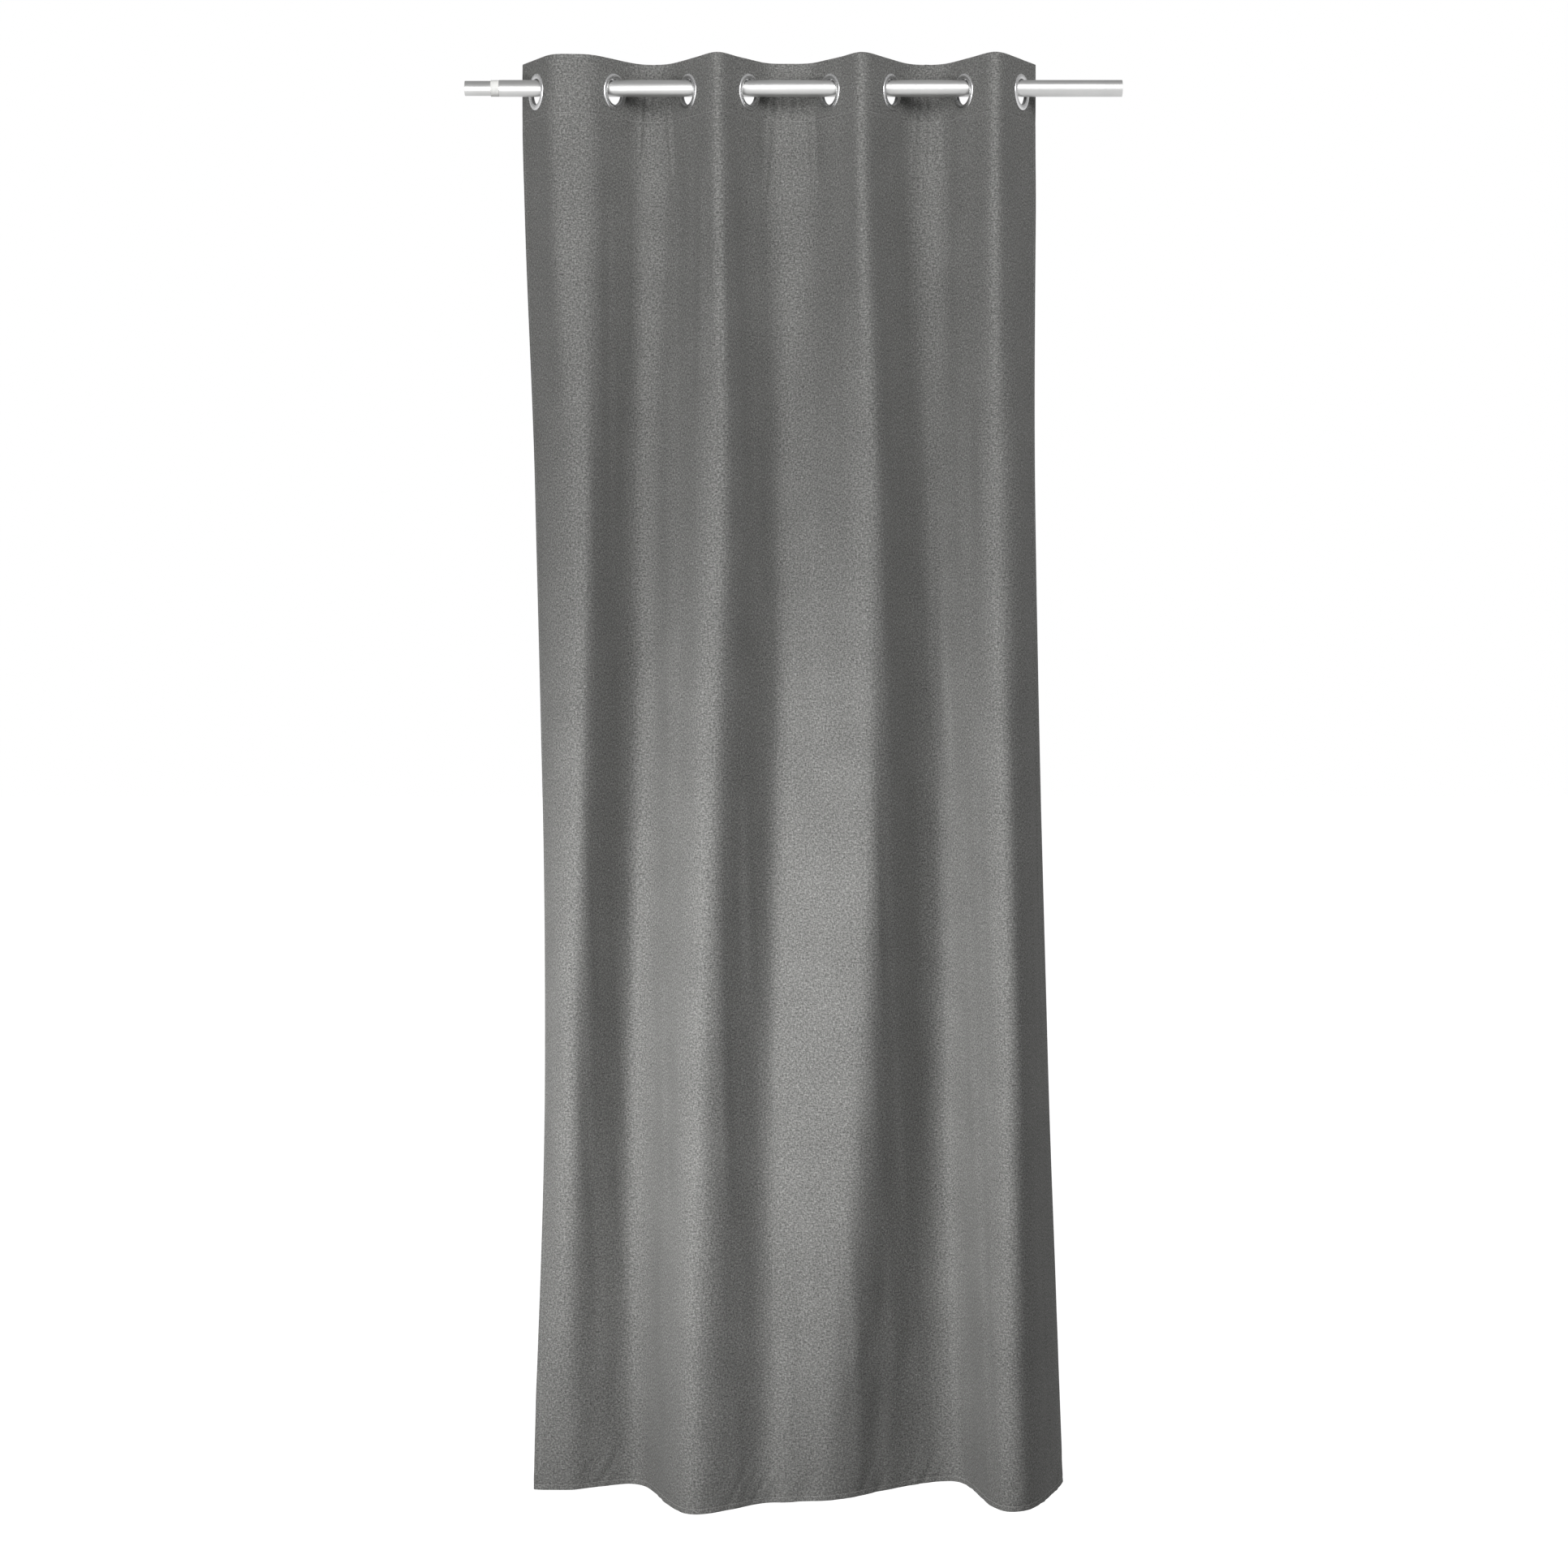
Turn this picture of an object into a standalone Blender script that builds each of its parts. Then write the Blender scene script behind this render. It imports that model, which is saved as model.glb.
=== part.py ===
"""Eyelet curtain panel hanging in folds on a telescopic pole.

Frame: the origin is on the pole's axis, above the middle of the panel. +X runs along the
pole, -Y faces the room, +Y faces the window and +Z is up. Every length is in metres.
"""

import math

import bmesh
import bpy
import numpy as np
from mathutils import Matrix, Vector

# Panel: the cloth laid flat
PANEL_WIDTH = 1.400
PANEL_DROP = 2.450
CLOTH = 0.0008
HEADER_DEPTH = 0.100
STIFFENER = 0.0004
SIDE_HEM = 0.012
BOTTOM_HEM = 0.010
GAP = 0.0003

# Eyelets, and where each one sits along the pole
EYELET_SKEW = 1.45
EYELET_PLAY = 0.0010
EYELET_FLANGE = 0.0092
EYELET_WALL = 0.0012
EYELET_DOME = 0.0030
EYELET_BACK = 0.0020
EYELET_REST = 0.0012
EYELET_TO_SIDE_EDGE = 0.0625
EYELET_TO_TOP_EDGE = 0.0547
EYELET_FLAT = 0.002
WIDER_FOLD_SHARE = 0.75
EDGE_SLOPE = 2.0
EYELET_X = (-0.408, -0.279, -0.153, -0.052, 0.086, 0.188, 0.312, 0.407)
EYELET_STEPS = 24

# Pole
OUTER_R = 0.0140
TUBE_WALL = 0.0010
TUBE_PLAY = 0.0005
OUTER_START = -0.472
OUTER_END = 0.578
INNER_START = -0.530
INNER_OVERLAP = 0.350
COLLAR_STEP = 0.0003
COLLAR_LENGTH = 0.014
BUSH_FLANGE = 0.004
BUSH_SPIGOT = 0.012
BUSH_WALL = 0.0012
POLE_STEPS = 40

# Drape below the header. Each level is a height, the folds met from the left edge to the
# right edge as (place along the pole, depth), and how steeply the cloth runs between each
# fold and the next, as a multiple of the mean slope there.
FLAT_SHARE = 0.16
UPPER_FOLDS = (
    (-0.417, 0.050), (-0.328, -0.052), (-0.239, 0.058), (-0.099, -0.072), (0.003, 0.050),
    (0.152, -0.056), (0.259, 0.066), (0.366, -0.062), (0.436, 0.048),
)
LOWER_FOLDS = (
    (-0.404, 0.062), (-0.352, -0.012), (-0.253, 0.074), (-0.130, -0.092), (-0.006, -0.002),
    (0.133, -0.040), (0.284, 0.086), (0.388, -0.082), (0.462, 0.070),
)
HEM_FOLDS = (
    (-0.425, 0.050), (-0.372, 0.046), (-0.262, 0.084), (-0.141, -0.110), (-0.004, -0.036),
    (0.060, -0.026), (0.298, 0.104), (0.394, -0.096), (0.493, 0.099),
)
UPPER_Z, UPPER_STEEPNESS = -0.680, (1.5, 1.5, 1.4, 1.4, 1.5, 1.5)
LOWER_Z, LOWER_STEEPNESS = -1.650, (1.4, 1.7, 1.4, 1.3, 1.5, 1.7)
HEM_STEEPNESS = (1.2, 1.9, 1.4, 1.2, 1.4, 2.2)
SAMPLES = 24

# Grid lines of the cloth
FLAT_COLUMNS = 2
FOLD_COLUMNS = 6
ROWS = 12
ROW_CROWDING = 1.15

# The thin tube slides in the thick one, its collar stays inside the thick one's outline,
# and the eyelets pass over both. The pole is EYELET_SKEW times as wide across a slanting
# eyelet as it is across itself.
INNER_R = OUTER_R - TUBE_WALL - TUBE_PLAY
COLLAR_R = OUTER_R - COLLAR_STEP
EYELET_BORE_R = EYELET_SKEW * OUTER_R + EYELET_PLAY
EYELET_RIM_R = EYELET_BORE_R + EYELET_FLANGE

COUNT = len(EYELET_X)
EYELET_SPACING = (PANEL_WIDTH - 2 * EYELET_TO_SIDE_EDGE) / (COUNT - 1)
EYELET_Z = OUTER_R + EYELET_REST - EYELET_BORE_R
TOP = EYELET_Z + EYELET_TO_TOP_EDGE
BOTTOM = TOP - PANEL_DROP
HEADER_END = TOP - HEADER_DEPTH
HEM_TOP = BOTTOM + BOTTOM_HEM

# Depth of each layer's middle behind the middle of the header
FACING_DEPTH = STIFFENER / 2 + GAP + CLOTH / 2
PANEL_DEPTH = -FACING_DEPTH
HEM_DEPTH = PANEL_DEPTH + CLOTH + GAP
STACK_HALF = FACING_DEPTH + CLOTH / 2
HOLE_R = EYELET_BORE_R + EYELET_WALL + GAP
FLAT_REACH = EYELET_RIM_R + EYELET_FLAT


def clear_scene():
    for old in list(bpy.data.objects):
        bpy.data.objects.remove(old)


def collection(name):
    group = bpy.data.collections.new(name)
    bpy.context.scene.collection.children.link(group)
    return group


def material(name, colour, roughness, metallic=0.0):
    made = bpy.data.materials.new(name)
    made.use_nodes = True
    shader = made.node_tree.nodes["Principled BSDF"]
    shader.inputs["Base Color"].default_value = (*colour, 1.0)
    shader.inputs["Roughness"].default_value = roughness
    shader.inputs["Metallic"].default_value = metallic
    return made


def bisect(grows, low, high):
    """The value between low and high where the rising function grows() crosses zero."""
    for _ in range(48):
        middle = (low + high) / 2
        if grows(middle) > 0:
            high = middle
        else:
            low = middle
    return (low + high) / 2


def length_of(points):
    return float(np.linalg.norm(np.diff(points, axis=0), axis=1).sum())


def hermite(start, end):
    """Points of the cubic between two nodes, each (x, y, slope), without the last point."""
    t = np.linspace(0, 1, SAMPLES, endpoint=False)
    width = end[0] - start[0]
    x = start[0] + width * t
    y = (
        start[1] * (2 * t**3 - 3 * t**2 + 1)
        + start[2] * width * (t**3 - 2 * t**2 + t)
        + end[1] * (3 * t**2 - 2 * t**3)
        + end[2] * width * (t**3 - t**2)
    )
    return np.column_stack((x, y))


def curve(nodes):
    pieces = [hermite(a, b) for a, b in zip(nodes, nodes[1:])]
    return np.vstack([*pieces, [nodes[-1][:2]]])


def half_gap(width, slope):
    """Length of the cloth from an eyelet to a fold, straight at first and then a parabola."""
    flat = FLAT_REACH / math.hypot(1, slope)
    nodes = (
        (0, 0, slope),
        (flat, slope * flat, slope),
        (width, slope * (flat + width) / 2, 0),
    )
    return length_of(curve(nodes))


def eyelet_slopes():
    """How steeply the cloth crosses the pole at each eyelet, mostly as its wider fold asks."""
    widths = np.diff(EYELET_X)
    folds = [
        bisect(lambda m, w=w: half_gap(w / 2, m) - EYELET_SPACING / 2, 0.2, 8.0) for w in widths
    ]
    steeps = [EDGE_SLOPE]
    for pair in zip(folds, folds[1:]):
        steeps.append(WIDER_FOLD_SHARE * min(pair) + (1 - WIDER_FOLD_SHARE) * max(pair))
    steeps.append(EDGE_SLOPE)
    return [steep if k % 2 else -steep for k, steep in enumerate(steeps)]


SLOPES = eyelet_slopes()


def flat_ends(k):
    """The two ends of the straight stretch that holds eyelet k."""
    x, slope = EYELET_X[k], SLOPES[k]
    flat = FLAT_REACH / math.hypot(1, slope)
    return (x - flat, -flat * slope, slope), (x + flat, flat * slope, slope)


def header_fold(k):
    """The fold between eyelets k and k + 1, as deep as the cloth between them allows."""
    middle = (EYELET_X[k] + EYELET_X[k + 1]) / 2
    side = math.copysign(1, SLOPES[k])
    start = (EYELET_X[k], 0, SLOPES[k])
    end = (EYELET_X[k + 1], 0, SLOPES[k + 1])

    def spare(depth):
        nodes = (start, flat_ends(k)[1], (middle, side * depth, 0), flat_ends(k + 1)[0], end)
        return length_of(curve(nodes)) - EYELET_SPACING

    return middle, side * bisect(spare, 0.02, 0.16), 0.0


def header_edge(k, way):
    """A side edge of the header, straight out from its nearest eyelet."""
    run = way * EYELET_TO_SIDE_EDGE / math.hypot(1, SLOPES[k])
    return EYELET_X[k] + run, run * SLOPES[k], SLOPES[k]


def header_nodes():
    nodes = [header_edge(0, -1)]
    for k in range(COUNT):
        nodes += flat_ends(k)
        if k < COUNT - 1:
            nodes.append(header_fold(k))
    nodes.append(header_edge(COUNT - 1, 1))
    return np.array(nodes)


def end_flank(edge, fold):
    """Two nodes on the parabola that leaves the edge and lies flat at the fold."""
    run, rise = fold[0] - edge[0], fold[1] - edge[1]
    return [
        (edge[0] + run * u, edge[1] + rise * (2 * u - u * u), 2 * (1 - u) * rise / run)
        for u in (0.25, 0.55)
    ]


def middle_flank(fold, after, steepness):
    """Two nodes where the cloth runs straight between a fold and the one after it."""
    run, rise = after[0] - fold[0], after[1] - fold[1]
    slope = steepness * rise / run
    reach = run * FLAT_SHARE / steepness
    x, y = fold[0] + run / 2, fold[1] + rise / 2
    return [(x - reach, y - reach * slope, slope), (x + reach, y + reach * slope, slope)]


def edge_node(edge, fold):
    return edge[0], edge[1], 2 * (fold[1] - edge[1]) / (fold[0] - edge[0])


def drape_nodes(folds, steepness):
    left, *middle, right = folds
    nodes = [edge_node(left, middle[0]), *end_flank(left, middle[0])]
    for fold, after, steep in zip(middle, middle[1:], steepness):
        nodes += [(*fold, 0.0), *middle_flank(fold, after, steep)]
    nodes += [(*middle[-1], 0.0), *end_flank(right, middle[-1])[::-1]]
    nodes.append(edge_node(right, middle[-1]))
    return np.array(nodes)


LEVEL_Z = (HEADER_END, UPPER_Z, LOWER_Z, BOTTOM)
LEVELS = (
    header_nodes(),
    drape_nodes(UPPER_FOLDS, UPPER_STEEPNESS),
    drape_nodes(LOWER_FOLDS, LOWER_STEEPNESS),
    drape_nodes(HEM_FOLDS, HEM_STEEPNESS),
)


def level_rates():
    """How fast each level's nodes move with height: not at all where the header ends."""
    rates = [np.zeros_like(LEVELS[0])]
    for k in (1, 2):
        rates.append((LEVELS[k + 1] - LEVELS[k - 1]) / (LEVEL_Z[k + 1] - LEVEL_Z[k - 1]))
    rates.append((LEVELS[3] - LEVELS[2]) / (LEVEL_Z[3] - LEVEL_Z[2]))
    return rates


RATES = level_rates()


def nodes_at(z):
    z = min(z, LEVEL_Z[0])
    k = next((i for i in (0, 1) if z >= LEVEL_Z[i + 1]), 2)
    step = LEVEL_Z[k + 1] - LEVEL_Z[k]
    t = (z - LEVEL_Z[k]) / step
    return (
        LEVELS[k] * (2 * t**3 - 3 * t**2 + 1)
        + RATES[k] * step * (t**3 - 2 * t**2 + t)
        + LEVELS[k + 1] * (3 * t**2 - 2 * t**3)
        + RATES[k + 1] * step * (t**3 - t**2)
    )


def section(z, across):
    """Where the cloth at height z has each distance in across, measured along it."""
    line = curve(nodes_at(z))
    middle = line[:, 1].mean()

    def deepened(scale):
        return np.column_stack((line[:, 0], middle + scale * (line[:, 1] - middle)))

    line = deepened(bisect(lambda s: length_of(deepened(s)) - PANEL_WIDTH, 0.2, 3.0))
    along = np.concatenate(([0], np.cumsum(np.linalg.norm(np.diff(line, axis=0), axis=1))))
    share = np.array(across) / PANEL_WIDTH * along[-1]
    return np.column_stack([np.interp(share, along, line[:, axis]) for axis in (0, 1)])


def set_back(points, distance):
    """Points moved towards the window so that each stretch stays parallel to itself."""
    runs = np.diff(points, axis=0)
    runs /= np.linalg.norm(runs, axis=1)[:, None]
    backs = np.column_stack((-runs[:, 1], runs[:, 0]))
    before, after = np.vstack((backs[:1], backs)), np.vstack((backs, backs[-1:]))
    corner = before + after
    corner /= (1 + (before * after).sum(axis=1))[:, None]
    return points + corner * distance


def grid_columns():
    """Distances across the cloth of its grid lines: hems, flat stretches and folds."""
    fold = EYELET_SPACING - 2 * FLAT_REACH
    lines = [0.0, SIDE_HEM]
    for k in range(COUNT):
        eyelet = EYELET_TO_SIDE_EDGE + k * EYELET_SPACING
        flat = range(-FLAT_COLUMNS, FLAT_COLUMNS + 1)
        lines += [eyelet + FLAT_REACH * step / FLAT_COLUMNS for step in flat]
        if k < COUNT - 1:
            bent = range(1, FOLD_COLUMNS)
            lines += [eyelet + FLAT_REACH + fold * step / FOLD_COLUMNS for step in bent]
    return [*lines, PANEL_WIDTH - SIDE_HEM, PANEL_WIDTH]


COLUMNS = grid_columns()


def grid(heights, picked, depth):
    """An open sheet of triangles at a depth behind the panel's middle."""
    mesh = bmesh.new()
    lines = []
    for z in heights:
        points = set_back(section(z, COLUMNS), depth)[picked]
        lines.append([mesh.verts.new((x, y, z)) for x, y in points])
    for upper, lower in zip(lines, lines[1:]):
        for k in range(len(upper) - 1):
            mesh.faces.new((lower[k], lower[k + 1], upper[k + 1]))
            mesh.faces.new((lower[k], upper[k + 1], upper[k]))
    return mesh


def new_object(name, mesh, group, finish=None):
    data = bpy.data.meshes.new(name)
    mesh.to_mesh(data)
    mesh.free()
    if finish:
        data.materials.append(finish)
    made = bpy.data.objects.new(name, data)
    group.objects.link(made)
    return made


def layer(name, heights, picked, depth, thickness, group, finish):
    """A sheet with its thickness shared equally about its middle."""
    made = new_object(name, grid(heights, picked, depth), group, finish)
    shell = made.modifiers.new("thickness", "SOLIDIFY")
    shell.thickness = thickness
    shell.offset = 0.0
    shell.use_even_offset = True
    return made


def eyelet_place(k):
    """Where eyelet k sits: its own +Z points out of the cloth on the room side."""
    back = Vector((-SLOPES[k], 1.0, 0.0)).normalized()
    centre = Vector((EYELET_X[k], 0.0, EYELET_Z))
    turned = Matrix.Rotation(math.atan2(-back.y, -back.x), 4, "Z")
    return Matrix.Translation(centre) @ turned @ Matrix.Rotation(math.pi / 2, 4, "Y")


def hole_cutters(group):
    mesh = bmesh.new()
    for k in range(COUNT):
        bmesh.ops.create_cone(
            mesh,
            cap_ends=True,
            segments=EYELET_STEPS,
            radius1=HOLE_R,
            radius2=HOLE_R,
            depth=8 * STACK_HALF,
            matrix=eyelet_place(k),
        )
    cutter = new_object("eyelet_holes", mesh, group)
    cutter.hide_render = True
    cutter.display_type = "WIRE"
    return cutter


def cut(target, cutter):
    hole = target.modifiers.new("eyelet_holes", "BOOLEAN")
    hole.operation = "DIFFERENCE"
    hole.object = cutter


def turned(name, profile, steps, group, finish):
    """A ring turned about its own Z axis from a closed outline of (radius, height)."""
    mesh = bmesh.new()
    corners = [mesh.verts.new((radius, 0, height)) for radius, height in profile]
    for a, b in zip(corners, corners[1:] + corners[:1]):
        mesh.edges.new((a, b))
    made = new_object(name, mesh, group, finish)
    screw = made.modifiers.new("turn", "SCREW")
    screw.steps = steps
    screw.render_steps = steps
    screw.use_merge_vertices = True
    screw.merge_threshold = 0.00005
    return made


def eyelet_front(k, group, finish):
    """Domed ring with a barrel that passes through the header."""
    seat = STACK_HALF + GAP
    tail = -seat - EYELET_BACK * 0.8
    crown = (EYELET_BORE_R + EYELET_RIM_R) / 2
    barrel = EYELET_BORE_R + EYELET_WALL
    profile = (
        (crown, seat + EYELET_DOME),
        (EYELET_RIM_R - EYELET_DOME * 0.4, seat + EYELET_DOME * 0.6),
        (EYELET_RIM_R, seat),
        (barrel, seat),
        (barrel, tail),
        (barrel - EYELET_WALL * 0.3, tail),
        (EYELET_BORE_R, tail + EYELET_BACK * 0.6),
        (EYELET_BORE_R, seat),
        (barrel, seat + EYELET_DOME * 0.75),
    )
    made = turned(f"eyelet_front_{k + 1}", profile, EYELET_STEPS, group, finish)
    made.matrix_world = eyelet_place(k)


def eyelet_back(k, group, finish):
    """Ring that snaps over the barrel behind the header."""
    seat = -STACK_HALF - GAP
    profile = (
        (EYELET_RIM_R, seat),
        (EYELET_RIM_R - EYELET_BACK * 0.3, seat - EYELET_BACK * 0.6),
        ((HOLE_R + EYELET_RIM_R) / 2, seat - EYELET_BACK),
        (HOLE_R, seat - EYELET_BACK * 0.8),
        (HOLE_R, seat),
    )
    made = turned(f"eyelet_back_{k + 1}", profile, EYELET_STEPS, group, finish)
    made.matrix_world = eyelet_place(k)


def along_pole(made, start):
    """Lay a turned piece along the pole, with its base at start."""
    made.matrix_world = Matrix.Translation((start, 0, 0)) @ Matrix.Rotation(math.pi / 2, 4, "Y")


def tube(name, start, end, radius, wall, group, finish):
    length = end - start
    profile = ((radius, length), (radius, 0), (radius - wall, 0), (radius - wall, length))
    along_pole(turned(name, profile, POLE_STEPS, group, finish), start)


def inner_bush(start, group, finish):
    """Flanged ring in the hidden end of the thin tube; it runs inside the thick one."""
    flange = OUTER_R - TUBE_WALL - GAP
    spigot = INNER_R - TUBE_WALL - GAP
    bore = spigot - BUSH_WALL
    profile = (
        (flange, BUSH_SPIGOT + BUSH_FLANGE),
        (flange, BUSH_SPIGOT),
        (spigot, BUSH_SPIGOT),
        (spigot, 0),
        (bore, 0),
        (bore, BUSH_SPIGOT + BUSH_FLANGE),
    )
    made = turned("pole_inner_bush", profile, POLE_STEPS, group, finish)
    along_pole(made, start + GAP - BUSH_SPIGOT)


def make_pole(group):
    metal = material("satin_metal", (0.62, 0.62, 0.62), 0.32, 1.0)
    plastic = material("pale_plastic", (0.78, 0.78, 0.76), 0.5)
    inner_end = OUTER_START + INNER_OVERLAP
    tube("pole_outer_tube", OUTER_START, OUTER_END, OUTER_R, TUBE_WALL, group, metal)
    tube("pole_inner_tube", INNER_START, inner_end, INNER_R, TUBE_WALL, group, metal)
    collar_end = OUTER_START - GAP
    collar_wall = COLLAR_R - INNER_R - GAP
    collar_start = collar_end - COLLAR_LENGTH
    tube("pole_collar", collar_start, collar_end, COLLAR_R, collar_wall, group, plastic)
    inner_bush(inner_end, group, plastic)


def make_eyelets(group):
    metal = material("eyelet_metal", (0.66, 0.66, 0.67), 0.28, 1.0)
    for k in range(COUNT):
        eyelet_front(k, group, metal)
        eyelet_back(k, group, metal)


def panel_heights():
    """Heights of the cloth's grid rows from top to bottom, closer together near the header."""
    fall = HEM_TOP - HEADER_END
    steps = [HEADER_END + fall * (k / ROWS) ** ROW_CROWDING for k in range(ROWS + 1)]
    return [TOP, *steps, BOTTOM]


def make_cloth(group, cutter):
    cloth = material("grey_cloth", (0.19, 0.19, 0.185), 0.9)
    tape = material("stiffener_tape", (0.75, 0.75, 0.73), 0.8)
    all_over, inside = slice(None), slice(1, -1)
    header = (TOP, HEADER_END)
    rows = panel_heights()
    sheets = (
        layer("curtain_fabric", rows, all_over, PANEL_DEPTH, CLOTH, group, cloth),
        layer("header_facing", header, all_over, FACING_DEPTH, CLOTH, group, cloth),
        layer("header_stiffener", header, inside, 0, STIFFENER, group, tape),
    )
    for sheet in sheets:
        cut(sheet, cutter)
    layer("bottom_hem", (HEM_TOP, BOTTOM), all_over, HEM_DEPTH, CLOTH, group, cloth)
    side = [HEADER_END - GAP, *rows[2:-2], HEM_TOP + GAP]
    layer("side_hem_left", side, slice(0, 2), HEM_DEPTH, CLOTH, group, cloth)
    layer("side_hem_right", side, slice(-2, None), HEM_DEPTH, CLOTH, group, cloth)


def main():
    clear_scene()
    parts = collection("eyelet_curtain")
    cutter = hole_cutters(collection("cutters"))
    make_pole(parts)
    make_eyelets(parts)
    make_cloth(parts, cutter)


main()
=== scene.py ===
"""Looks of the eyelet curtain: cloth, rings, pole, stitching, light and camera."""

import functools
import math

import bmesh
import bpy
import numpy as np
from mathutils import Matrix, Vector


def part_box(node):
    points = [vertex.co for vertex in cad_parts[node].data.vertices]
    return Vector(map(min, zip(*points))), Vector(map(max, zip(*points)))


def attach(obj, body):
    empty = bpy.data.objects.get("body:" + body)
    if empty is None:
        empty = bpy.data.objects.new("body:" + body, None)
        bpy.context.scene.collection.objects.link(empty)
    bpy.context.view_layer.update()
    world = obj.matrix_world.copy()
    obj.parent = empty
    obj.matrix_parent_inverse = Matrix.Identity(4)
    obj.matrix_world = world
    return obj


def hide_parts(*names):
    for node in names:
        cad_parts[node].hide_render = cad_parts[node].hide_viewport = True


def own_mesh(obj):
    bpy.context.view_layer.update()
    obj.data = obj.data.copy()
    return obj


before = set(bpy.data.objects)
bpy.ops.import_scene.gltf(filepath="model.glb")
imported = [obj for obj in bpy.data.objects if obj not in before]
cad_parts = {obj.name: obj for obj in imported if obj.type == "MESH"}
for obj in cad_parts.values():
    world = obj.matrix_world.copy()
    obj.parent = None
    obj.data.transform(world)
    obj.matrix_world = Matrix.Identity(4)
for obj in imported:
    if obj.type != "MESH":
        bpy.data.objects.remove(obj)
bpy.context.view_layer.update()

# Panel, as in the CAD model
PANEL_WIDTH = 1.400
PANEL_DROP = 2.450
CLOTH = 0.0008
HEADER_DEPTH = 0.100
STIFFENER = 0.0004
SIDE_HEM = 0.012
BOTTOM_HEM = 0.010
GAP = 0.0003

# Eyelets, as in the CAD model
BORE_R = 0.0213
RIM_R = 0.0305
RING_WALL = 0.0012
DOME = 0.0030
BACK_RING = 0.0020
EYELET_FLAT = 0.002
WIDER_FOLD_SHARE = 0.75
EDGE_SLOPE = 2.0
EYELET_REST = 0.0012
TO_TOP_EDGE = 0.0547
TO_SIDE_EDGE = 0.0625
EYELET_X = (-0.408, -0.279, -0.153, -0.052, 0.086, 0.188, 0.312, 0.407)

# Pole, as in the CAD model
OUTER_R = 0.0140
INNER_R = 0.0125
TUBE_WALL = 0.0010
COLLAR_STEP = 0.0003
BUSH_WALL = 0.0012
BUSH_FLANGE = 0.004

# Folds of the drape, as in the CAD model
FLAT_SHARE = 0.16
UPPER_FOLDS = (
    (-0.417, 0.050), (-0.328, -0.052), (-0.239, 0.058), (-0.099, -0.072), (0.003, 0.050),
    (0.152, -0.056), (0.259, 0.066), (0.366, -0.062), (0.436, 0.048),
)
LOWER_FOLDS = (
    (-0.404, 0.062), (-0.352, -0.012), (-0.253, 0.074), (-0.130, -0.092), (-0.006, -0.002),
    (0.133, -0.040), (0.284, 0.086), (0.388, -0.082), (0.462, 0.070),
)
HEM_FOLDS = (
    (-0.425, 0.050), (-0.372, 0.046), (-0.262, 0.084), (-0.141, -0.110), (-0.004, -0.036),
    (0.060, -0.026), (0.298, 0.104), (0.394, -0.096), (0.493, 0.099),
)
UPPER_Z, UPPER_STEEPNESS = -0.680, (1.5, 1.5, 1.4, 1.4, 1.5, 1.5)
LOWER_Z, LOWER_STEEPNESS = -1.650, (1.4, 1.7, 1.4, 1.3, 1.5, 1.7)
HEM_STEEPNESS = (1.2, 1.9, 1.4, 1.2, 1.4, 2.2)
SAMPLES = 24

COUNT = len(EYELET_X)
SPACING = (PANEL_WIDTH - 2 * TO_SIDE_EDGE) / (COUNT - 1)
EYELET_Z = OUTER_R + EYELET_REST - BORE_R
TOP = EYELET_Z + TO_TOP_EDGE
BOTTOM = TOP - PANEL_DROP
HEADER_END = TOP - HEADER_DEPTH
HEM_TOP = BOTTOM + BOTTOM_HEM
FACING_DEPTH = STIFFENER / 2 + GAP + CLOTH / 2
PANEL_DEPTH = -FACING_DEPTH
HEM_DEPTH = PANEL_DEPTH + CLOTH + GAP
STACK_HALF = FACING_DEPTH + CLOTH / 2
FLAT_REACH = RIM_R + EYELET_FLAT

# Fineness of the cloth's mesh: columns, then rows at the hem, above it, on the open cloth,
# in the header's creases, at its seam and on the header
COLUMN_STEP = 0.0025
HEM_ROWS = 0.0015
LOW_ROWS = 0.004
OPEN_ROWS = 0.012
CREASE_ROWS = 0.005
SEAM_ROWS = 0.0012
HEADER_ROWS = 0.004
TABLE_ACROSS = 0.002
TABLE_DOWN = 0.010
HOLE_R = 0.0262

# Seams: their heights, and the thread's size, stitch length and share of each stitch in sight
HEADER_SEAM = HEADER_END + 0.003
HEM_SEAM = BOTTOM + 0.0085
SIDE_SEAM = SIDE_HEM - 0.002
THREAD_R = 0.00028
STITCH = 0.0034
SIDE_STITCH = 0.0040
STITCH_SHARE = 0.84

# Soft unevenness of the cloth: (depth, width of a bump, height of a bump)
BROAD_SWELL = (0.0026, 0.060, 0.85)
NARROW_SWELL = (0.0009, 0.026, 0.34)
HEADER_SWELL = (0.0004, 0.030, 0.06)
HEM_PULL = (0.0011, 0.014, 0.09)
HEM_SLANT = (0.0011, 0.034, 0.22)
EDGE_CURL = 0.0030
SEAM_GROOVE, HEM_GROOVE = 0.0005, 0.0005
LATTICE = 97

# Studio: the backdrop's light on the object, the camera and the lamps
FILL = 0.30
CAMERA_AT = (0.008, -5.8, -0.8965)
CAMERA_LENS = 78.3
CAMERA_DIP = math.radians(2.741)
FLOOR_CLEARANCE = 0.35
AREA_LIGHTS = (
    ("key", (-1.9, -3.0, -0.75), (0, 0, -0.95), (0.9, 1.5), 66),
    ("overhead", (0.8, -2.4, 0.80), (0, 0, -0.30), (2.0, 1.2), 50),
)
GLOW_AT, GLOW_AIM = (-2.0, -2.3, -1.66), (-0.03, 0, -1.64)
GLOW_POWER, GLOW_ANGLE, GLOW_SIZE = 300, math.radians(38), 0.35


# ---- The drape ------------------------------------------------------------------------


def bisect(grows, low, high):
    """The value between low and high where the rising function grows() crosses zero."""
    for _ in range(40):
        middle = (low + high) / 2
        if grows(middle) > 0:
            high = middle
        else:
            low = middle
    return (low + high) / 2


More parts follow.
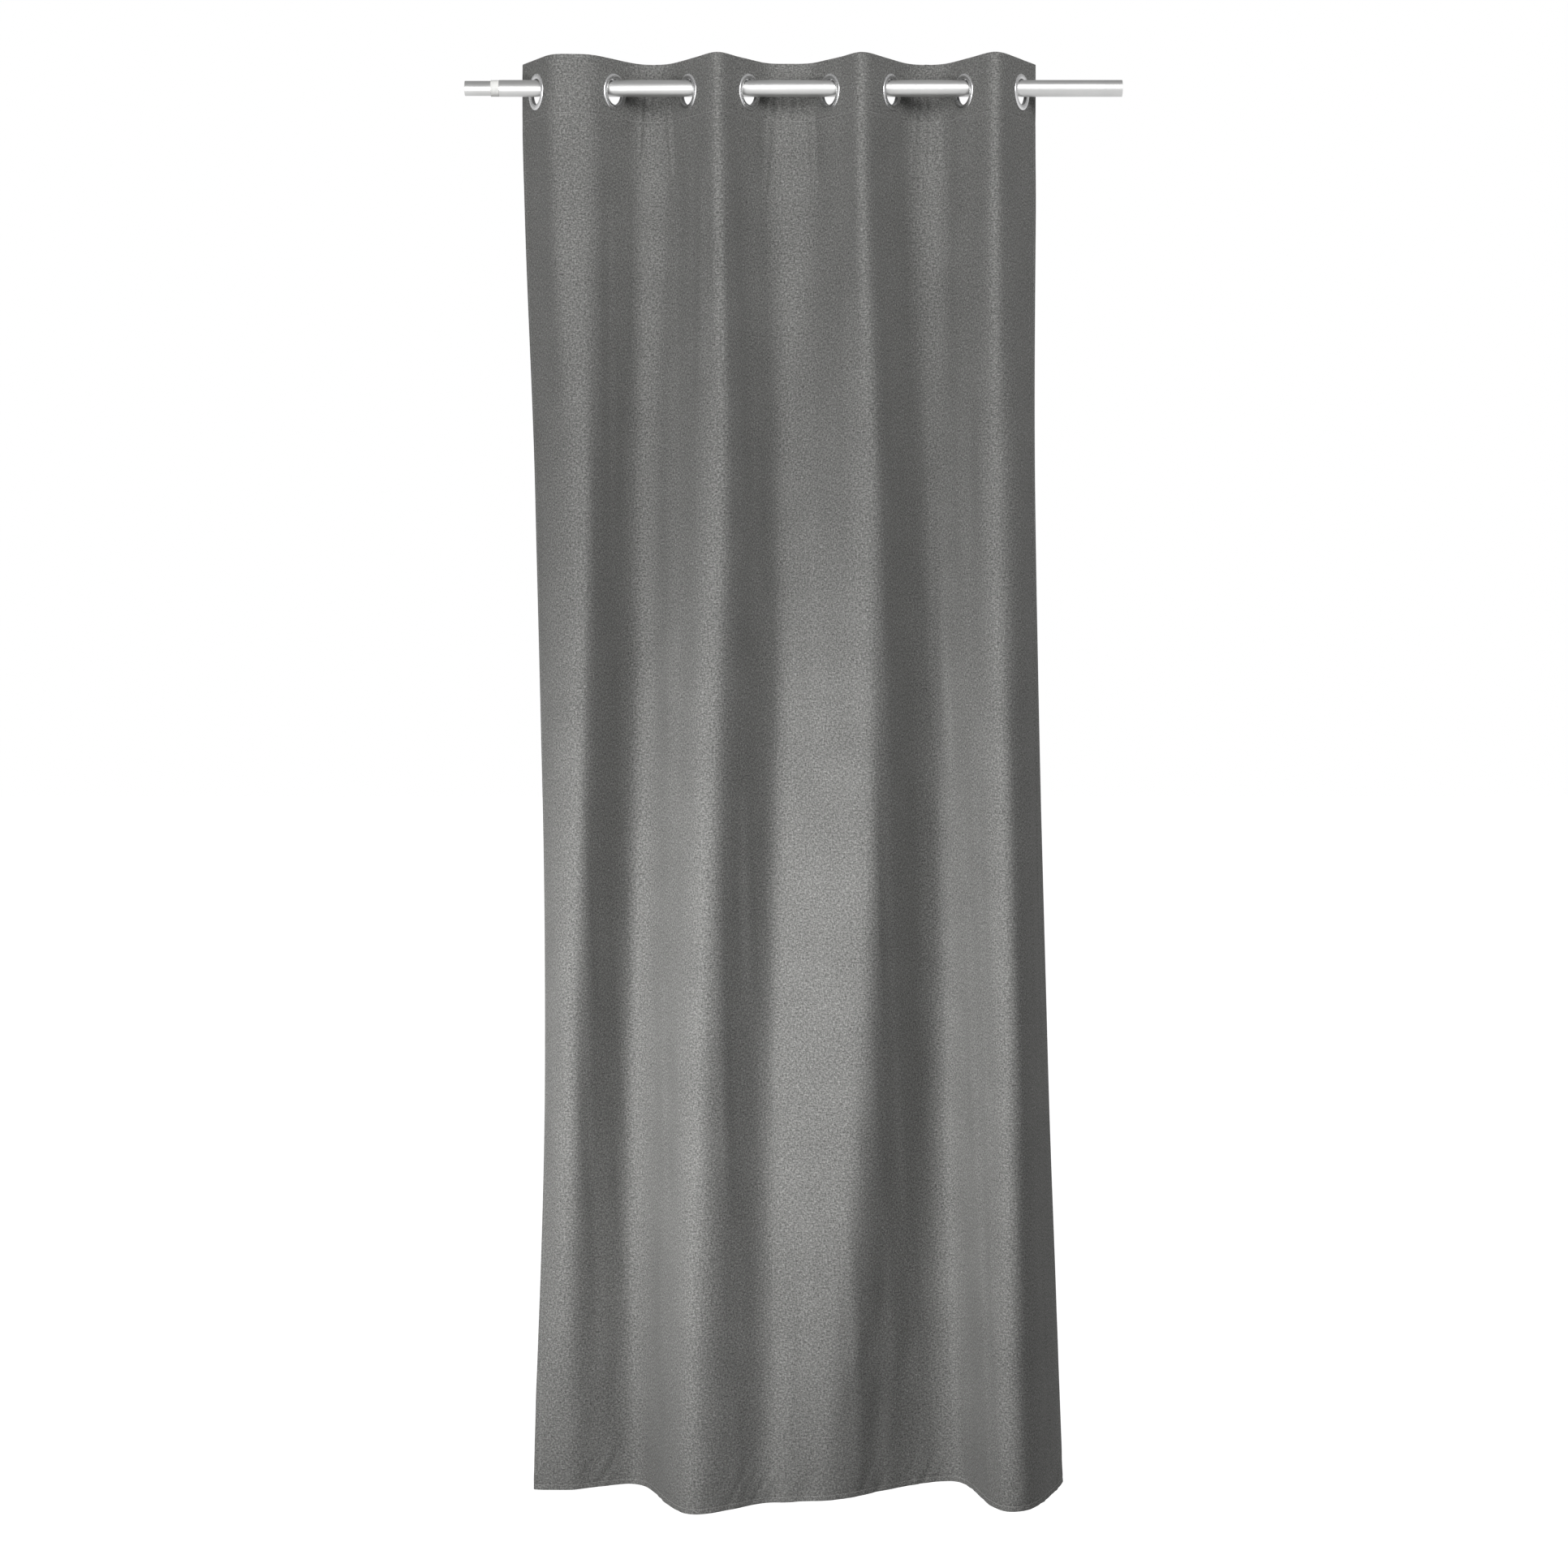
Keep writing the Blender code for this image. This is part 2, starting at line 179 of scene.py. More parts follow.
def length_of(points):
    return float(np.linalg.norm(np.diff(points, axis=0), axis=1).sum())


def hermite(start, end):
    t = np.linspace(0, 1, SAMPLES, endpoint=False)
    width = end[0] - start[0]
    x = start[0] + width * t
    y = (
        start[1] * (2 * t**3 - 3 * t**2 + 1)
        + start[2] * width * (t**3 - 2 * t**2 + t)
        + end[1] * (3 * t**2 - 2 * t**3)
        + end[2] * width * (t**3 - t**2)
    )
    return np.column_stack((x, y))


def curve(nodes):
    pieces = [hermite(a, b) for a, b in zip(nodes, nodes[1:])]
    return np.vstack([*pieces, [nodes[-1][:2]]])


def half_gap(width, slope):
    flat = FLAT_REACH / math.hypot(1, slope)
    nodes = ((0, 0, slope), (flat, slope * flat, slope), (width, slope * (flat + width) / 2, 0))
    return length_of(curve(nodes))


def eyelet_slopes():
    """How steeply the cloth crosses the pole at each eyelet, mostly as its wider fold asks."""
    widths = np.diff(EYELET_X)
    folds = [bisect(lambda m, w=w: half_gap(w / 2, m) - SPACING / 2, 0.2, 8.0) for w in widths]
    steeps = [EDGE_SLOPE]
    for pair in zip(folds, folds[1:]):
        steeps.append(WIDER_FOLD_SHARE * min(pair) + (1 - WIDER_FOLD_SHARE) * max(pair))
    steeps.append(EDGE_SLOPE)
    return [steep if k % 2 else -steep for k, steep in enumerate(steeps)]


SLOPES = eyelet_slopes()


def flat_ends(k):
    x, slope = EYELET_X[k], SLOPES[k]
    flat = FLAT_REACH / math.hypot(1, slope)
    return (x - flat, -flat * slope, slope), (x + flat, flat * slope, slope)


def header_fold(k):
    """The fold between eyelets k and k + 1, as deep as the cloth between them allows."""
    middle = (EYELET_X[k] + EYELET_X[k + 1]) / 2
    side = math.copysign(1, SLOPES[k])
    start = (EYELET_X[k], 0, SLOPES[k])
    end = (EYELET_X[k + 1], 0, SLOPES[k + 1])

    def spare(depth):
        nodes = (start, flat_ends(k)[1], (middle, side * depth, 0), flat_ends(k + 1)[0], end)
        return length_of(curve(nodes)) - SPACING

    return middle, side * bisect(spare, 0.02, 0.16), 0.0


def header_edge(k, way):
    run = way * TO_SIDE_EDGE / math.hypot(1, SLOPES[k])
    return EYELET_X[k] + run, run * SLOPES[k], SLOPES[k]


def header_nodes():
    nodes = [header_edge(0, -1)]
    for k in range(COUNT):
        nodes += flat_ends(k)
        if k < COUNT - 1:
            nodes.append(header_fold(k))
    nodes.append(header_edge(COUNT - 1, 1))
    return np.array(nodes)


def end_flank(edge, fold):
    run, rise = fold[0] - edge[0], fold[1] - edge[1]
    return [
        (edge[0] + run * u, edge[1] + rise * (2 * u - u * u), 2 * (1 - u) * rise / run)
        for u in (0.25, 0.55)
    ]


def middle_flank(fold, after, steepness):
    run, rise = after[0] - fold[0], after[1] - fold[1]
    slope = steepness * rise / run
    reach = run * FLAT_SHARE / steepness
    x, y = fold[0] + run / 2, fold[1] + rise / 2
    return [(x - reach, y - reach * slope, slope), (x + reach, y + reach * slope, slope)]


def edge_node(edge, fold):
    return edge[0], edge[1], 2 * (fold[1] - edge[1]) / (fold[0] - edge[0])


def drape_nodes(folds, steepness):
    left, *middle, right = folds
    nodes = [edge_node(left, middle[0]), *end_flank(left, middle[0])]
    for fold, after, steep in zip(middle, middle[1:], steepness):
        nodes += [(*fold, 0.0), *middle_flank(fold, after, steep)]
    nodes += [(*middle[-1], 0.0), *end_flank(right, middle[-1])[::-1]]
    nodes.append(edge_node(right, middle[-1]))
    return np.array(nodes)


LEVEL_Z = (HEADER_END, UPPER_Z, LOWER_Z, BOTTOM)
LEVELS = (
    header_nodes(),
    drape_nodes(UPPER_FOLDS, UPPER_STEEPNESS),
    drape_nodes(LOWER_FOLDS, LOWER_STEEPNESS),
    drape_nodes(HEM_FOLDS, HEM_STEEPNESS),
)


def level_rates():
    rates = [np.zeros_like(LEVELS[0])]
    for k in (1, 2):
        rates.append((LEVELS[k + 1] - LEVELS[k - 1]) / (LEVEL_Z[k + 1] - LEVEL_Z[k - 1]))
    rates.append((LEVELS[3] - LEVELS[2]) / (LEVEL_Z[3] - LEVEL_Z[2]))
    return rates


RATES = level_rates()


def nodes_at(z):
    z = min(z, LEVEL_Z[0])
    k = next((i for i in (0, 1) if z >= LEVEL_Z[i + 1]), 2)
    step = LEVEL_Z[k + 1] - LEVEL_Z[k]
    t = (z - LEVEL_Z[k]) / step
    return (
        LEVELS[k] * (2 * t**3 - 3 * t**2 + 1)
        + RATES[k] * step * (t**3 - 2 * t**2 + t)
        + LEVELS[k + 1] * (3 * t**2 - 2 * t**3)
        + RATES[k + 1] * step * (t**3 - t**2)
    )


def drape_line(z):
    """The cloth's line at height z, and the distance along it of each of its points."""
    line = curve(nodes_at(z))
    middle = line[:, 1].mean()

    def deepened(scale):
        return np.column_stack((line[:, 0], middle + scale * (line[:, 1] - middle)))

    line = deepened(bisect(lambda s: length_of(deepened(s)) - PANEL_WIDTH, 0.2, 3.0))
    along = np.concatenate(([0], np.cumsum(np.linalg.norm(np.diff(line, axis=0), axis=1))))
    return line, along * PANEL_WIDTH / along[-1]


def drape_table():
    """Places of the smooth drape on a fine grid, by step down and step across."""
    across = np.arange(0, PANEL_WIDTH + TABLE_ACROSS / 2, TABLE_ACROSS)
    rows = []
    for z in np.arange(HEADER_END, BOTTOM - 2 * TABLE_DOWN, -TABLE_DOWN):
        line, along = drape_line(z)
        rows.append(np.column_stack([np.interp(across, along, line[:, i]) for i in (0, 1)]))
    places = np.array(rows)
    run = np.gradient(places, axis=1)
    run /= np.linalg.norm(run, axis=2)[:, :, None]
    return np.concatenate((places, -run[:, :, 1:], run[:, :, :1]), axis=2)


DRAPE = drape_table()


def place(across, z):
    """Points of the cloth's middle, and the way to its window side at each."""
    column = np.clip(across / TABLE_ACROSS, 0, DRAPE.shape[1] - 1.001)
    row = np.maximum((HEADER_END - z) / TABLE_DOWN, 0)
    i, j = np.floor(column).astype(int), np.floor(row).astype(int)
    a, b = (column - i)[..., None], (row - j)[..., None]
    upper = DRAPE[j, i] * (1 - a) + DRAPE[j, i + 1] * a
    lower = DRAPE[j + 1, i] * (1 - a) + DRAPE[j + 1, i + 1] * a
    found = upper * (1 - b) + lower * b
    back = found[..., 2:]
    return found[..., :2], back / np.linalg.norm(back, axis=-1)[..., None]


# ---- Small folds and creases ----------------------------------------------------------


@functools.lru_cache(maxsize=None)
def noise_lattice(seed):
    return np.random.default_rng(seed).uniform(-1, 1, (LATTICE, LATTICE))


def soft_noise(u, v, seed):
    """Smooth noise from -1 to 1 with one bump a unit, the same for each seed."""
    lattice = noise_lattice(seed)
    u, v = np.asarray(u, float) + 500, np.asarray(v, float) + 500
    column, row = np.floor(u).astype(int), np.floor(v).astype(int)
    a, b = u - column, v - row
    a, b = a * a * a * (a * (6 * a - 15) + 10), b * b * b * (b * (6 * b - 15) + 10)

    def corner(i, j):
        return lattice[(column + i) % LATTICE, (row + j) % LATTICE]

    low = corner(0, 0) * (1 - a) + corner(1, 0) * a
    high = corner(0, 1) * (1 - a) + corner(1, 1) * a
    return low * (1 - b) + high * b


def rise(value, start, end):
    """0 before start and 1 after end, smooth between."""
    t = np.clip((value - start) / (end - start), 0, 1)
    return t * t * (3 - 2 * t)


def bell(value, centre, width):
    return np.exp(-(((value - centre) / width) ** 2))


def eyelet_across(k):
    return TO_SIDE_EDGE + k * SPACING


# Creases where the header is folded back, each in the fold after an eyelet: (eyelet,
# sideways offset, lean, top, bottom, half width, depth)
CREASES = (
    (1, -0.020, 0.05, 0.005, -0.125, 0.0040, 0.0016),
    (1, -0.004, -0.03, -0.008, -0.150, 0.0036, 0.0020),
    (1, 0.010, 0.04, -0.016, -0.110, 0.0036, 0.0018),
    (1, 0.026, -0.10, -0.020, -0.170, 0.0044, 0.0015),
    (3, -0.014, 0.04, 0.010, -0.110, 0.0036, 0.0017),
    (3, 0.002, 0.02, -0.006, -0.165, 0.0036, 0.0022),
    (3, 0.018, -0.06, -0.004, -0.120, 0.0038, 0.0018),
    (3, -0.030, 0.10, -0.016, -0.190, 0.0050, 0.0016),
    (3, 0.034, -0.10, -0.030, -0.200, 0.0050, 0.0013),
    (5, 0.000, 0.01, 0.044, -0.150, 0.0034, 0.0026),
    (5, 0.016, -0.06, -0.010, -0.160, 0.0038, 0.0016),
    (5, -0.016, 0.08, -0.012, -0.150, 0.0040, 0.0016),
)


def creases(s, z):
    total = np.zeros(np.broadcast(s, z).shape)
    for after, offset, lean, top, bottom, width, depth in CREASES:
        centre = eyelet_across(after) + SPACING / 2 + offset + lean * (z - top)
        ends = rise(z, bottom, bottom + 0.05) * (1 - rise(z, top, top + 0.02))
        total -= depth * bell(s, centre, width) * ends
        total += 0.6 * depth * bell(s, centre + 2.6 * width, 1.8 * width) * ends
    return total


def ripple(u, v, shape, seed):
    depth, wide, high = shape
    return depth * soft_noise(u / wide, v / high, seed)


def swell(s, z):
    """How far the cloth stands off its smooth drape, towards the window."""
    below = 1 - rise(z, HEADER_END - 0.16, HEADER_END + 0.01)
    sway = soft_noise(s / 0.30, z / 0.9, 3) * 0.02
    folds = ripple(s + sway, z, BROAD_SWELL, 11) + ripple(s + sway, z, NARROW_SWELL, 12)
    up = z - BOTTOM
    pull = bell(z, BOTTOM + 0.015, 0.040) * ripple(s - 0.7 * up, z, HEM_PULL, 13)
    pull += bell(z, BOTTOM + 0.16, 0.13) * ripple(s - 0.45 * up, z + s, HEM_SLANT, 15)
    curl = EDGE_CURL * bell(s, 1.366 + 0.02 * (z + 0.8), 0.0060) * bell(z, -0.85, 0.45)
    stiff = ripple(s, z, HEADER_SWELL, 14) * (1 - below)
    seams = SEAM_GROOVE * bell(z, HEADER_SEAM, 0.0024) + HEM_GROOVE * bell(z, HEM_SEAM, 0.0020)
    return below * folds + pull + stiff + seams - curl + creases(s, z)


def near_eyelet(s, z):
    """1 on the flat cloth that a ring clamps, falling to 0 around it."""
    total = np.zeros(np.broadcast(s, z).shape)
    for k in range(COUNT):
        away = np.hypot(s - eyelet_across(k), z - EYELET_Z)
        total = np.maximum(total, 1 - rise(away, RIM_R, RIM_R + 0.008))
    return total


def cloth_points(across, z, depth):
    """Places on the cloth at distances across it, at heights z and depths behind its middle."""
    across, z, depth = np.broadcast_arrays(*(np.asarray(v, float) for v in (across, z, depth)))
    points, backs = place(across, z)
    off = swell(across, z) * (1 - near_eyelet(across, z))
    points = points + backs * (depth + off)[..., None]
    return np.concatenate((points, z[..., None]), axis=-1)


# ---- Meshes ---------------------------------------------------------------------------


def linked(name, data):
    made = bpy.data.objects.new(name, data)
    bpy.context.scene.collection.objects.link(made)
    return made



def add_object(name, mesh, materials):
    data = bpy.data.meshes.new(name)
    mesh.to_mesh(data)
    mesh.free()
    for finish in materials:
        data.materials.append(finish)
    return linked(name, data)


def applied(made):
    """Put the result of an object's modifiers into its mesh."""
    bpy.context.view_layer.update()
    evaluated = made.evaluated_get(bpy.context.evaluated_depsgraph_get())
    data = bpy.data.meshes.new_from_object(evaluated)
    made.modifiers.clear()
    made.data = data
    return made


def strip(name, points, flats, skipped, materials):
    """A grid of quads over rows of points, with flat-cloth coordinates for its weave.

    skipped says which quads are left out, or is None."""
    down, wide = points.shape[:2]
    index = np.arange(down * wide).reshape(down, wide)
    quads = np.stack((index[:-1, :-1], index[:-1, 1:], index[1:, 1:], index[1:, :-1]), axis=-1)
    quads = quads.reshape(-1, 4) if skipped is None else quads[~skipped]
    data = bpy.data.meshes.new(name)
    data.from_pydata(points.reshape(-1, 3).tolist(), [], quads.tolist())
    weave = data.uv_layers.new(name="weave")
    weave.data.foreach_set("uv", flats.reshape(-1, 2)[quads.ravel()].ravel())
    for finish in materials:
        data.materials.append(finish)
    data.shade_smooth()
    return linked(name, data)


def inside_eyelets(across, z):
    """Which quads of a grid lie within a ring; the ring's flanges cover the cut."""
    middle = [(v[:-1, :-1] + v[:-1, 1:] + v[1:, 1:] + v[1:, :-1]) / 4 for v in (across, z)]
    away = [np.hypot(middle[0] - eyelet_across(k), middle[1] - EYELET_Z) for k in range(COUNT)]
    return np.min(away, axis=0) < HOLE_R


def thicken(made, thickness):
    shell = made.modifiers.new("thickness", "SOLIDIFY")
    shell.thickness = thickness
    shell.offset = 0.0
    shell.use_even_offset = True
    applied(made)
    made.data.shade_smooth()
    made.data.set_sharp_from_angle(angle=math.radians(50))
    return made


def steps(start, end, size):
    """Evenly spaced values from start to end, both kept, about size apart."""
    return np.linspace(start, end, max(2, round(abs(end - start) / size) + 1))


def panel_path():
    """The cloth's way from the back of its hem, under, up the front, over and down behind.

    Each step is (height, depth, distance along the cloth)."""
    roll = (HEM_DEPTH - PANEL_DEPTH) / 2
    path = [(z, HEM_DEPTH) for z in steps(HEM_TOP, BOTTOM + roll, HEM_ROWS)]
    for angle in np.linspace(0, math.pi, 7)[1:-1]:
        depth = (HEM_DEPTH + PANEL_DEPTH) / 2 + roll * math.cos(angle)
        path.append((BOTTOM + roll - roll * math.sin(angle), depth))
    heights = np.concatenate((
        steps(BOTTOM + roll, BOTTOM + 0.015, HEM_ROWS)[:-1],
        steps(BOTTOM + 0.015, BOTTOM + 0.060, LOW_ROWS)[:-1],
        steps(BOTTOM + 0.060, HEADER_END - 0.20, OPEN_ROWS)[:-1],
        steps(HEADER_END - 0.20, HEADER_END - 0.006, CREASE_ROWS)[:-1],
        steps(HEADER_END - 0.006, HEADER_END + 0.012, SEAM_ROWS)[:-1],
        steps(HEADER_END + 0.012, TOP - FACING_DEPTH, HEADER_ROWS),
    ))
    path += [(z, PANEL_DEPTH) for z in heights]
    for angle in np.linspace(0, math.pi, 9)[1:-1]:
        path.append((TOP - FACING_DEPTH * (1 - math.sin(angle)), -FACING_DEPTH * math.cos(angle)))
    path += [(z, FACING_DEPTH) for z in steps(TOP - FACING_DEPTH, HEADER_END, HEADER_ROWS)]
    along = [0.0]
    for (z0, d0), (z1, d1) in zip(path, path[1:]):
        along.append(along[-1] + math.hypot(z1 - z0, d1 - d0))
    return [(z, depth, v) for (z, depth), v in zip(path, along)]


def make_panel(finish):
    path = np.array(panel_path())
    across, z = np.meshgrid(steps(0, PANEL_WIDTH, COLUMN_STEP), path[:, 0])
    points = cloth_points(across, z, path[:, 1:2])
    flats = np.stack((across, np.broadcast_to(path[:, 2:], across.shape)), axis=-1)
    panel = strip("curtain_panel", points, flats, inside_eyelets(across, z), [finish])
    return thicken(panel, CLOTH)


def edge_path(outer_depth, flange):
    """A turned side edge, as (distance in from the edge, depth, distance along the cloth)."""
    roll = (outer_depth - PANEL_DEPTH) / 2
    path = [(0, PANEL_DEPTH)]
    for angle in np.linspace(0, math.pi, 7)[1:-1]:
        path.append((-roll * math.sin(angle), PANEL_DEPTH + roll * (1 - math.cos(angle))))
    path += [(inward, outer_depth) for inward in steps(0, max(flange, 0.0002), 0.004)]
    path = np.array(path)
    along = np.concatenate(([0], -np.cumsum(np.linalg.norm(np.diff(path, axis=0), axis=1))))
    return np.column_stack((path, along))


def make_edge(name, side, heights, outer_depth, flange, finish):
    """The left (-1) or right (1) edge of the cloth turned to its window side."""
    path = edge_path(outer_depth, flange)[::-1]
    inward, z = np.meshgrid(path[:, 0], heights)
    edge = 0 if side < 0 else PANEL_WIDTH
    across = edge - side * np.maximum(inward, 0)
    points = cloth_points(across, z, path[:, 1])
    _, back = place(across, z)
    outward = side * np.stack((back[..., 1], -back[..., 0]), axis=-1)
    points[..., :2] += outward * np.maximum(-inward, 0)[..., None]
    flats = np.stack((edge - side * np.broadcast_to(path[:, 2], z.shape), z - BOTTOM), axis=-1)
    return thicken(strip(name, points, flats, None, [finish]), CLOTH)


def make_stiffener(finish):
    across = steps(SIDE_HEM, PANEL_WIDTH - SIDE_HEM, COLUMN_STEP)
    across, z = np.meshgrid(across, steps(HEADER_END + 0.008, TOP - 0.002, HEADER_ROWS))
    flats = np.stack((across, z), axis=-1)
    points = cloth_points(across, z, 0)
    tape = strip("stiffener_tape", points, flats, inside_eyelets(across, z), [finish])
    return thicken(tape, STIFFENER)


def ring_mesh(profile, sides):
    """A closed ring turned about Z from a closed outline of (radius, height)."""
    mesh = bmesh.new()
    loops = []
    for k in range(sides):
        angle = 2 * math.pi * k / sides
        turn = (math.cos(angle), math.sin(angle))
        loops.append([mesh.verts.new((r * turn[0], r * turn[1], h)) for r, h in profile])
    for a, b in zip(loops, loops[1:] + loops[:1]):
        for i in range(len(profile)):
            j = (i + 1) % len(profile)
            mesh.faces.new((a[i], a[j], b[j], b[i])).smooth = True
    bmesh.ops.recalc_face_normals(mesh, faces=mesh.faces)
    return mesh


def eyelet_place(k):
    back = Vector((-SLOPES[k], 1.0, 0.0)).normalized()
    centre = Vector((EYELET_X[k], 0.0, EYELET_Z))
    turned = Matrix.Rotation(math.atan2(-back.y, -back.x), 4, "Z")
    return Matrix.Translation(centre) @ turned @ Matrix.Rotation(math.pi / 2, 4, "Y")


def front_ring_profile():
    """Domed flange with a rolled rim, and a barrel with a flared tail."""
    seat = STACK_HALF + 0.0001
    middle, half = (BORE_R + RIM_R) / 2, (RIM_R - BORE_R) / 2
    outline = [
        (middle + half * math.cos(t), seat + 0.0006 + (DOME - 0.0006) * math.sin(t) ** 0.8)
        for t in np.linspace(0, math.pi, 19)
    ]
    tail = -STACK_HALF - GAP - BACK_RING * 0.8
    outline += [
        (BORE_R, seat),
        (BORE_R, tail + 0.0012),
        (BORE_R + 0.0003, tail + 0.0004),
        (BORE_R + RING_WALL * 0.7, tail),
        (BORE_R + RING_WALL, tail + 0.0001),
        (BORE_R + RING_WALL, seat),
        (RIM_R - 0.0003, seat),
    ]
    return outline


def back_ring_profile():
    seat = -STACK_HALF - 0.0001
    hole = BORE_R + RING_WALL + 0.0001
    middle, half = (hole + RIM_R) / 2, (RIM_R - hole) / 2
    outline = [
        (middle + half * math.cos(t), seat - 0.0005 - (BACK_RING - 0.0005) * math.sin(t) ** 0.7)
        for t in np.linspace(0, math.pi, 15)
    ]
    return outline + [(hole, seat), (RIM_R, seat)]


def make_eyelet(k, finish, barrel_shade):
    mesh = ring_mesh(front_ring_profile(), 72)
    for face in mesh.faces:
        centre = face.calc_center_median()
        radius, low = math.hypot(centre.x, centre.y), centre.z < STACK_HALF + DOME * 0.35
        # Low faces inside the barrel take the second material, grey paint standing in for the
        # barrel's shade and the cloth it reflects
        face.material_index = int(radius < BORE_R + RING_WALL * 0.8 and low)
    mesh.transform(eyelet_place(k))
    front = add_object(f"ring_front_{k + 1}", mesh, [finish, barrel_shade])
    mesh = ring_mesh(back_ring_profile(), 72)
    mesh.transform(eyelet_place(k))
    back = add_object(f"ring_back_{k + 1}", mesh, [finish])
    for piece, node in ((front, "eyelet_front"), (back, "eyelet_back")):
        piece.data.set_sharp_from_angle(angle=math.radians(60))
        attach(piece, f"eyelet_{k + 1}")
        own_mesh(piece)
        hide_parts(f"{node}_{k + 1}")


def along_pole(mesh, start):
    mesh.transform(Matrix.Translation((start, 0, 0)) @ Matrix.Rotation(math.pi / 2, 4, "Y"))


def round_tube(name, low, high, outer, inner, bevel, finish):
    """A tube along the pole with rounded rims."""
    length = high - low
    outline = []
    for sign, base in ((1, 0.0), (-1, length)):
        for t in np.linspace(0, math.pi / 2, 4):
            outline.append((
                outer - bevel + bevel * (math.sin(t) if sign > 0 else math.cos(t)),
                base + sign * bevel * (1 - (math.cos(t) if sign > 0 else math.sin(t))),
            ))
    outline += [(inner, length), (inner, 0.0)]
    mesh = ring_mesh(outline, 96)
    along_pole(mesh, low)
    made = add_object(name, mesh, [finish])
    made.data.set_sharp_from_angle(angle=math.radians(40))
    return made


def make_pole(metal, plastic):
    mouth = OUTER_R - COLLAR_STEP
    jobs = (
        ("thick_tube", "pole_outer_tube", OUTER_R, OUTER_R - TUBE_WALL, 0.0004, metal, "pole"),
        ("thin_tube", "pole_inner_tube", INNER_R, INNER_R - TUBE_WALL, 0.0004, metal, "pole_inner"),
        ("mouth_collar", "pole_collar", mouth, INNER_R + GAP, 0.0005, plastic, "pole"),
    )
    for name, node, outer, inner, bevel, finish, body in jobs:
        low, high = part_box(node)
        made = round_tube(name, low[0], high[0], outer, inner, bevel, finish)
        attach(made, body)
        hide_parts(node)
    low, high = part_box("pole_inner_bush")
    flange, spigot = OUTER_R - TUBE_WALL - GAP, INNER_R - TUBE_WALL - GAP
    length = high[0] - low[0]
    outline = (
        (flange, length - 0.0004), (flange, length - BUSH_FLANGE), (spigot, length - BUSH_FLANGE),
        (spigot, 0.0005), (spigot - 0.0005, 0), (spigot - BUSH_WALL, 0),
        (spigot - BUSH_WALL, length), (flange - 0.0004, length),
    )
    mesh = ring_mesh(outline, 96)
    along_pole(mesh, low[0])
    bush = add_object("inner_bush", mesh, [plastic])
    bush.data.set_sharp_from_angle(angle=math.radians(40))
    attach(bush, "pole_inner")
    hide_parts("pole_inner_bush")


# ---- Stitching ------------------------------------------------------------------------


def stitches(across, z, depth, out):
    """Vertices and faces of sunk-ended stitches, each between a pair of places.

    across and z hold one (start, end) row for each stitch; out is -1 on the room side."""
    ends = cloth_points(across, z, depth)
    _, back = place(across.mean(axis=1), z.mean(axis=1))
    up = out * np.column_stack((back, np.zeros(len(back))))
    run = ends[:, 1] - ends[:, 0]
    side = np.cross(run, up)
    side /= np.linalg.norm(side, axis=1)[:, None]
    rings = []
    for t, size in ((0.0, 0.35), (0.18, 0.95), (0.5, 1.0), (0.82, 0.95), (1.0, 0.35)):
        lift = THREAD_R * (2.6 * math.sin(math.pi * t) ** 0.6 - 0.9)
        centre = ends[:, 0] + run * t + up * lift
        for angle in np.arange(5) * 2 * math.pi / 5:
            offset = side * (1.2 * math.cos(angle)) + up * math.sin(angle)
            rings.append(centre + offset * THREAD_R * size)
    points = np.stack(rings, axis=1)
    sides = [
        (5 * ring + i, 5 * ring + (i + 1) % 5, 5 * ring + 5 + (i + 1) % 5, 5 * ring + 5 + i)
        for ring in range(4)
        for i in range(5)
    ]
    caps = [tuple(range(4, -1, -1)), tuple(range(20, 25))]
    faces = [
        tuple(25 * number + corner for corner in face)
        for number in range(len(points))
        for face in sides + caps
    ]
    return points.reshape(-1, 3), faces


def spans(start, end, pitch):
    """Start and end of each stitch along a seam, with the gaps between them."""
    count = round(abs(end - start) / pitch)
    starts = start + (end - start) * np.arange(count) / count
    return np.column_stack((starts, starts + STITCH_SHARE * (end - start) / count))


def seam(name, rows, finish):
    """One object for the seam's stitches on all of its faces: rows of (across, z, depth, out)."""
    points, faces = [], []
    for across, z, depth, out in rows:
        across, z = np.broadcast_arrays(across, z)
        more, sides = stitches(across, z, depth, out)
        base = sum(len(p) for p in points)
        points.append(more)
        faces += [tuple(base + corner for corner in face) for face in sides]
    data = bpy.data.meshes.new(name)
    data.from_pydata(np.vstack(points).tolist(), [], faces)
    data.materials.append(finish)
    data.shade_smooth()
    return linked(name, data)


def make_stitching(finish, pale):
    front, back = PANEL_DEPTH - CLOTH / 2, FACING_DEPTH + CLOTH / 2
    hem_back = HEM_DEPTH + CLOTH / 2
    whole = spans(0.002, PANEL_WIDTH - 0.002, STITCH)
    header = [(whole, HEADER_SEAM, front, -1), (whole, HEADER_SEAM, back, 1)]
    hem = [(whole, HEM_SEAM, front, -1), (whole, HEM_SEAM, hem_back, 1)]
    threads = [
        seam("header_stitching", header, finish),
        seam("bottom_hem_stitching", hem, pale),
    ]
    down = spans(HEADER_END - 0.004, HEM_TOP + 0.002, SIDE_STITCH)
    for name, s in (("left", SIDE_SEAM), ("right", PANEL_WIDTH - SIDE_SEAM)):
        rows = [(s, down, front, -1), (s, down, hem_back, 1)]
        threads.append(seam(f"{name}_hem_stitching", rows, finish))
    return threads


# ---- Materials ------------------------------------------------------------------------


